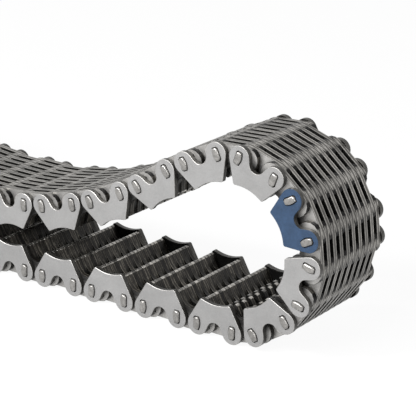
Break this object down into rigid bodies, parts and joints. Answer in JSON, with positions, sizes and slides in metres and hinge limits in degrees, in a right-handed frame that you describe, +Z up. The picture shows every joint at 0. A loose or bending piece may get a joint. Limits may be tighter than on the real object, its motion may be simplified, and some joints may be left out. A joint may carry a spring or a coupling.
{
  "type": "silent chain",
  "caption": "Endless inverted-tooth chain of interleaved tooth plates on rocker pins, with outer guide plates, lying as a long loop with a round bulb at each end.",
  "frame": {"origin": "on the floor under the loop, midway between its two end bulbs and midway across its width", "axes": "+X along the loop, towards the bulb with the painted plate; +Y across the chain, along its pins; +Z up"},
  "size_m": [0.2476, 0.0362, 0.0581],
  "materials": {
    "chain_steel": "satin, ground plate faces and polished pin ends",
    "blue_paint": "semi-gloss blue paint"
  },
  "bodies": {
    "row_00": {"drive_link_00": "chain_steel"},
    "row_01": {"guide_link_01": "chain_steel"},
    "row_02": {"drive_link_02": "chain_steel"},
    "row_03": {"guide_link_03": "chain_steel"},
    "row_04": {"drive_link_04": "chain_steel"},
    "row_05": {"guide_link_05": "chain_steel"},
    "row_06": {"drive_link_06": "chain_steel"},
    "row_07": {"guide_link_07": "chain_steel"},
    "row_08": {"drive_link_08": "chain_steel"},
    "row_09": {"guide_link_09": "chain_steel"},
    "row_10": {"drive_link_10": "chain_steel"},
    "row_11": {"guide_link_11": "chain_steel"},
    "row_12": {"drive_link_12": "chain_steel"},
    "row_13": {"guide_link_13": "chain_steel"},
    "row_14": {"drive_link_14": "chain_steel"},
    "row_15": {"guide_link_15": "chain_steel", "timing_guide_plate": "blue_paint"},
    "row_16": {"drive_link_16": "chain_steel"},
    "row_17": {"guide_link_17": "chain_steel"},
    "row_18": {"drive_link_18": "chain_steel"},
    "row_19": {"guide_link_19": "chain_steel"},
    "row_20": {"drive_link_20": "chain_steel"},
    "row_21": {"guide_link_21": "chain_steel"},
    "row_22": {"drive_link_22": "chain_steel"},
    "row_23": {"guide_link_23": "chain_steel"},
    "row_24": {"drive_link_24": "chain_steel"},
    "row_25": {"guide_link_25": "chain_steel"},
    "row_26": {"drive_link_26": "chain_steel"},
    "row_27": {"guide_link_27": "chain_steel"},
    "row_28": {"drive_link_28": "chain_steel"},
    "row_29": {"guide_link_29": "chain_steel"},
    "row_30": {"drive_link_30": "chain_steel"},
    "row_31": {"guide_link_31": "chain_steel"},
    "row_32": {"drive_link_32": "chain_steel"},
    "row_33": {"guide_link_33": "chain_steel"},
    "row_34": {"drive_link_34": "chain_steel"},
    "row_35": {"guide_link_35": "chain_steel"},
    "row_36": {"drive_link_36": "chain_steel"},
    "row_37": {"guide_link_37": "chain_steel"},
    "row_38": {"drive_link_38": "chain_steel"},
    "row_39": {"guide_link_39": "chain_steel"},
    "row_40": {"drive_link_40": "chain_steel"},
    "row_41": {"guide_link_41": "chain_steel"},
    "row_42": {"drive_link_42": "chain_steel"},
    "row_43": {"guide_link_43": "chain_steel"},
    "row_44": {"drive_link_44": "chain_steel"},
    "row_45": {"guide_link_45": "chain_steel"},
    "row_46": {"drive_link_46": "chain_steel"},
    "row_47": {"guide_link_47": "chain_steel"},
    "row_48": {"drive_link_48": "chain_steel"},
    "row_49": {"guide_link_49": "chain_steel"},
    "row_50": {"drive_link_50": "chain_steel"},
    "row_51": {"guide_link_51": "chain_steel"},
    "row_52": {"drive_link_52": "chain_steel"},
    "row_53": {"guide_link_53": "chain_steel"},
    "row_54": {"drive_link_54": "chain_steel"},
    "row_55": {"guide_link_55": "chain_steel"},
    "row_56": {"drive_link_56": "chain_steel"},
    "row_57": {"guide_link_57": "chain_steel"}
  },
  "joints": [
    {"name": "right_joint_01", "type": "hinge", "parent": "row_00", "child": "row_01", "pos_m": [0.00953, 0, 0.00355], "axis": [0, -1, 0], "range_deg": [-12, 28]},
    {"name": "right_joint_02", "type": "hinge", "parent": "row_01", "child": "row_02", "pos_m": [0.01905, 0, 0.00355], "axis": [0, -1, 0], "range_deg": [-3, 3]},
    {"name": "right_joint_03", "type": "hinge", "parent": "row_02", "child": "row_03", "pos_m": [0.02857, 0, 0.00355], "axis": [0, -1, 0], "range_deg": [-12, 28]},
    {"name": "right_joint_04", "type": "hinge", "parent": "row_03", "child": "row_04", "pos_m": [0.0381, 0, 0.00355], "axis": [0, -1, 0], "range_deg": [-12, 28]},
    {"name": "right_joint_05", "type": "hinge", "parent": "row_04", "child": "row_05", "pos_m": [0.04763, 0, 0.00355], "axis": [0, -1, 0], "range_deg": [-3, 3]},
    {"name": "right_joint_06", "type": "hinge", "parent": "row_05", "child": "row_06", "pos_m": [0.05715, 0, 0.00355], "axis": [0, -1, 0], "range_deg": [-12, 28]},
    {"name": "right_joint_07", "type": "hinge", "parent": "row_06", "child": "row_07", "pos_m": [0.06667, 0, 0.00355], "axis": [0, -1, 0], "range_deg": [-3, 3]},
    {"name": "right_joint_08", "type": "hinge", "parent": "row_07", "child": "row_08", "pos_m": [0.0762, 0, 0.00355], "axis": [0, -1, 0], "range_deg": [-12, 28]},
    {"name": "right_joint_09", "type": "hinge", "parent": "row_08", "child": "row_09", "pos_m": [0.08572, 0, 0.00355], "axis": [0, -1, 0], "range_deg": [-12, 28]},
    {"name": "right_joint_10", "type": "hinge", "parent": "row_09", "child": "row_10", "pos_m": [0.09525, 0, 0.00355], "axis": [0, -1, 0], "range_deg": [-24, 16]},
    {"name": "right_joint_11", "type": "hinge", "parent": "row_10", "child": "row_11", "pos_m": [0.10457, 0, 0.00553], "axis": [0, -1, 0], "range_deg": [-33.4, 6.6]},
    {"name": "right_joint_12", "type": "hinge", "parent": "row_11", "child": "row_12", "pos_m": [0.11252, 0, 0.01077], "axis": [0, -1, 0], "range_deg": [-3, 3]},
    {"name": "right_joint_13", "type": "hinge", "parent": "row_12", "child": "row_13", "pos_m": [0.11801, 0, 0.01856], "axis": [0, -1, 0], "range_deg": [-33.4, 6.6]},
    {"name": "right_joint_14", "type": "hinge", "parent": "row_13", "child": "row_14", "pos_m": [0.12028, 0, 0.02781], "axis": [0, -1, 0], "range_deg": [-33.4, 6.6]},
    {"name": "right_joint_15", "type": "hinge", "parent": "row_14", "child": "row_15", "pos_m": [0.11902, 0, 0.03725], "axis": [0, -1, 0], "range_deg": [-33.4, 6.6]},
    {"name": "right_joint_16", "type": "hinge", "parent": "row_15", "child": "row_16", "pos_m": [0.1144, 0, 0.04558], "axis": [0, -1, 0], "range_deg": [-2, 2]},
    {"name": "right_joint_17", "type": "hinge", "parent": "row_16", "child": "row_17", "pos_m": [0.10706, 0, 0.05165], "axis": [0, -1, 0], "range_deg": [-33.4, 6.6]},
    {"name": "right_joint_18", "type": "hinge", "parent": "row_17", "child": "row_18", "pos_m": [0.09801, 0, 0.05462], "axis": [0, -1, 0], "range_deg": [-33.4, 6.6]},
    {"name": "right_joint_19", "type": "hinge", "parent": "row_18", "child": "row_19", "pos_m": [0.0885, 0, 0.05409], "axis": [0, -1, 0], "range_deg": [-33.4, 6.6]},
    {"name": "right_joint_20", "type": "hinge", "parent": "row_19", "child": "row_20", "pos_m": [0.07984, 0, 0.05013], "axis": [0, -1, 0], "range_deg": [-16.64, 23.36]},
    {"name": "right_joint_21", "type": "hinge", "parent": "row_20", "child": "row_21", "pos_m": [0.07153, 0, 0.04547], "axis": [0, -1, 0], "range_deg": [-3, 3]},
    {"name": "right_joint_22", "type": "hinge", "parent": "row_21", "child": "row_22", "pos_m": [0.06363, 0, 0.04016], "axis": [0, -1, 0], "range_deg": [-7.16, 32.84]},
    {"name": "right_joint_23", "type": "hinge", "parent": "row_22", "child": "row_23", "pos_m": [0.0553, 0, 0.03554], "axis": [0, -1, 0], "range_deg": [-7.16, 32.84]},
    {"name": "right_joint_24", "type": "hinge", "parent": "row_23", "child": "row_24", "pos_m": [0.04661, 0, 0.03163], "axis": [0, -1, 0], "range_deg": [-7.16, 32.84]},
    {"name": "right_joint_25", "type": "hinge", "parent": "row_24", "child": "row_25", "pos_m": [0.03763, 0, 0.02847], "axis": [0, -1, 0], "range_deg": [-7.16, 32.84]},
    {"name": "right_joint_26", "type": "hinge", "parent": "row_25", "child": "row_26", "pos_m": [0.02841, 0, 0.02609], "axis": [0, -1, 0], "range_deg": [-3, 3]},
    {"name": "right_joint_27", "type": "hinge", "parent": "row_26", "child": "row_27", "pos_m": [0.01902, 0, 0.02448], "axis": [0, -1, 0], "range_deg": [-7.16, 32.84]},
    {"name": "right_joint_28", "type": "hinge", "parent": "row_27", "child": "row_28", "pos_m": [0.00953, 0, 0.02368], "axis": [0, -1, 0], "range_deg": [-7.16, 32.84]},
    {"name": "left_joint_01", "type": "hinge", "parent": "row_00", "child": "row_57", "pos_m": [0, 0, 0.00355], "axis": [0, 1, 0], "range_deg": [-12, 28]},
    {"name": "left_joint_02", "type": "hinge", "parent": "row_57", "child": "row_56", "pos_m": [-0.00953, 0, 0.00355], "axis": [0, 1, 0], "range_deg": [-3, 3]},
    {"name": "left_joint_03", "type": "hinge", "parent": "row_56", "child": "row_55", "pos_m": [-0.01905, 0, 0.00355], "axis": [0, 1, 0], "range_deg": [-12, 28]},
    {"name": "left_joint_04", "type": "hinge", "parent": "row_55", "child": "row_54", "pos_m": [-0.02857, 0, 0.00355], "axis": [0, 1, 0], "range_deg": [-12, 28]},
    {"name": "left_joint_05", "type": "hinge", "parent": "row_54", "child": "row_53", "pos_m": [-0.0381, 0, 0.00355], "axis": [0, 1, 0], "range_deg": [-3, 3]},
    {"name": "left_joint_06", "type": "hinge", "parent": "row_53", "child": "row_52", "pos_m": [-0.04763, 0, 0.00355], "axis": [0, 1, 0], "range_deg": [-12, 28]},
    {"name": "left_joint_07", "type": "hinge", "parent": "row_52", "child": "row_51", "pos_m": [-0.05715, 0, 0.00355], "axis": [0, 1, 0], "range_deg": [-12, 28]},
    {"name": "left_joint_08", "type": "hinge", "parent": "row_51", "child": "row_50", "pos_m": [-0.06667, 0, 0.00355], "axis": [0, 1, 0], "range_deg": [-3, 3]},
    {"name": "left_joint_09", "type": "hinge", "parent": "row_50", "child": "row_49", "pos_m": [-0.0762, 0, 0.00355], "axis": [0, 1, 0], "range_deg": [-12, 28]},
    {"name": "left_joint_10", "type": "hinge", "parent": "row_49", "child": "row_48", "pos_m": [-0.08572, 0, 0.00355], "axis": [0, 1, 0], "range_deg": [-12, 28]},
    {"name": "left_joint_11", "type": "hinge", "parent": "row_48", "child": "row_47", "pos_m": [-0.09525, 0, 0.00355], "axis": [0, 1, 0], "range_deg": [-24, 16]},
    {"name": "left_joint_12", "type": "hinge", "parent": "row_47", "child": "row_46", "pos_m": [-0.10457, 0, 0.00553], "axis": [0, 1, 0], "range_deg": [-33.4, 6.6]},
    {"name": "left_joint_13", "type": "hinge", "parent": "row_46", "child": "row_45", "pos_m": [-0.11252, 0, 0.01077], "axis": [0, 1, 0], "range_deg": [-3, 3]},
    {"name": "left_joint_14", "type": "hinge", "parent": "row_45", "child": "row_44", "pos_m": [-0.11801, 0, 0.01856], "axis": [0, 1, 0], "range_deg": [-33.4, 6.6]},
    {"name": "left_joint_15", "type": "hinge", "parent": "row_44", "child": "row_43", "pos_m": [-0.12028, 0, 0.02781], "axis": [0, 1, 0], "range_deg": [-33.4, 6.6]},
    {"name": "left_joint_16", "type": "hinge", "parent": "row_43", "child": "row_42", "pos_m": [-0.11902, 0, 0.03725], "axis": [0, 1, 0], "range_deg": [-33.4, 6.6]},
    {"name": "left_joint_17", "type": "hinge", "parent": "row_42", "child": "row_41", "pos_m": [-0.1144, 0, 0.04558], "axis": [0, 1, 0], "range_deg": [-2, 2]},
    {"name": "left_joint_18", "type": "hinge", "parent": "row_41", "child": "row_40", "pos_m": [-0.10706, 0, 0.05165], "axis": [0, 1, 0], "range_deg": [-33.4, 6.6]},
    {"name": "left_joint_19", "type": "hinge", "parent": "row_40", "child": "row_39", "pos_m": [-0.09801, 0, 0.05462], "axis": [0, 1, 0], "range_deg": [-33.4, 6.6]},
    {"name": "left_joint_20", "type": "hinge", "parent": "row_39", "child": "row_38", "pos_m": [-0.0885, 0, 0.05409], "axis": [0, 1, 0], "range_deg": [-33.4, 6.6]},
    {"name": "left_joint_21", "type": "hinge", "parent": "row_38", "child": "row_37", "pos_m": [-0.07984, 0, 0.05013], "axis": [0, 1, 0], "range_deg": [-3, 3]},
    {"name": "left_joint_22", "type": "hinge", "parent": "row_37", "child": "row_36", "pos_m": [-0.07153, 0, 0.04547], "axis": [0, 1, 0], "range_deg": [-16.64, 23.36]},
    {"name": "left_joint_23", "type": "hinge", "parent": "row_36", "child": "row_35", "pos_m": [-0.06363, 0, 0.04016], "axis": [0, 1, 0], "range_deg": [-7.16, 32.84]},
    {"name": "left_joint_24", "type": "hinge", "parent": "row_35", "child": "row_34", "pos_m": [-0.0553, 0, 0.03554], "axis": [0, 1, 0], "range_deg": [-7.16, 32.84]},
    {"name": "left_joint_25", "type": "hinge", "parent": "row_34", "child": "row_33", "pos_m": [-0.04661, 0, 0.03163], "axis": [0, 1, 0], "range_deg": [-7.16, 32.84]},
    {"name": "left_joint_26", "type": "hinge", "parent": "row_33", "child": "row_32", "pos_m": [-0.03763, 0, 0.02847], "axis": [0, 1, 0], "range_deg": [-7.16, 32.84]},
    {"name": "left_joint_27", "type": "hinge", "parent": "row_32", "child": "row_31", "pos_m": [-0.02841, 0, 0.02609], "axis": [0, 1, 0], "range_deg": [-3, 3]},
    {"name": "left_joint_28", "type": "hinge", "parent": "row_31", "child": "row_30", "pos_m": [-0.01902, 0, 0.02448], "axis": [0, 1, 0], "range_deg": [-7.16, 32.84]},
    {"name": "left_joint_29", "type": "hinge", "parent": "row_30", "child": "row_29", "pos_m": [-0.00953, 0, 0.02368], "axis": [0, 1, 0], "range_deg": [-7.16, 32.84]}
  ],
  "couplings": [
    {"joint": "right_joint_01", "follows": "right_joint_02", "ratio": -0.5},
    {"joint": "right_joint_03", "follows": "right_joint_02", "ratio": -0.5},
    {"joint": "right_joint_04", "follows": "right_joint_05", "ratio": -0.5},
    {"joint": "right_joint_06", "follows": "right_joint_05", "ratio": -0.5},
    {"joint": "right_joint_08", "follows": "right_joint_07", "ratio": -1},
    {"joint": "right_joint_09", "follows": "right_joint_07", "ratio": -1},
    {"joint": "right_joint_10", "follows": "right_joint_07", "ratio": 1},
    {"joint": "right_joint_11", "follows": "right_joint_12", "ratio": -0.34939},
    {"joint": "right_joint_13", "follows": "right_joint_12", "ratio": -1},
    {"joint": "right_joint_14", "follows": "right_joint_12", "ratio": 0.34939},
    {"joint": "right_joint_15", "follows": "right_joint_16", "ratio": -0.34939},
    {"joint": "right_joint_17", "follows": "right_joint_16", "ratio": -1},
    {"joint": "right_joint_18", "follows": "right_joint_16", "ratio": 0.34939},
    {"joint": "right_joint_19", "follows": "right_joint_21", "ratio": 0.33406},
    {"joint": "right_joint_20", "follows": "right_joint_21", "ratio": -1},
    {"joint": "right_joint_22", "follows": "right_joint_21", "ratio": -0.33406},
    {"joint": "right_joint_23", "follows": "right_joint_26", "ratio": 0.66816},
    {"joint": "right_joint_24", "follows": "right_joint_26", "ratio": -0.85544},
    {"joint": "right_joint_25", "follows": "right_joint_26", "ratio": -0.85084},
    {"joint": "right_joint_27", "follows": "right_joint_26", "ratio": 0.68854},
    {"joint": "right_joint_28", "follows": "right_joint_26", "ratio": -0.68871},
    {"joint": "left_joint_01", "follows": "left_joint_02", "ratio": -0.5},
    {"joint": "left_joint_03", "follows": "left_joint_02", "ratio": -0.5},
    {"joint": "left_joint_04", "follows": "left_joint_05", "ratio": -0.5},
    {"joint": "left_joint_06", "follows": "left_joint_05", "ratio": -0.5},
    {"joint": "left_joint_07", "follows": "left_joint_08", "ratio": -0.6661},
    {"joint": "left_joint_09", "follows": "left_joint_08", "ratio": -0.65638},
    {"joint": "left_joint_10", "follows": "left_joint_08", "ratio": 0.97717},
    {"joint": "left_joint_11", "follows": "left_joint_08", "ratio": -0.65469},
    {"joint": "left_joint_12", "follows": "left_joint_13", "ratio": -0.34939},
    {"joint": "left_joint_14", "follows": "left_joint_13", "ratio": -1},
    {"joint": "left_joint_15", "follows": "left_joint_13", "ratio": 0.34939},
    {"joint": "left_joint_16", "follows": "left_joint_17", "ratio": -0.34939},
    {"joint": "left_joint_18", "follows": "left_joint_17", "ratio": -1},
    {"joint": "left_joint_19", "follows": "left_joint_17", "ratio": 0.34939},
    {"joint": "left_joint_20", "follows": "left_joint_21", "ratio": -0.50324},
    {"joint": "left_joint_22", "follows": "left_joint_21", "ratio": -0.48455},
    {"joint": "left_joint_23", "follows": "left_joint_21", "ratio": -0.51225},
    {"joint": "left_joint_24", "follows": "left_joint_21", "ratio": 0.99466},
    {"joint": "left_joint_25", "follows": "left_joint_21", "ratio": -0.49461},
    {"joint": "left_joint_26", "follows": "left_joint_27", "ratio": -0.42996},
    {"joint": "left_joint_28", "follows": "left_joint_27", "ratio": -0.42842},
    {"joint": "left_joint_29", "follows": "left_joint_27", "ratio": -0.42843}
  ]
}
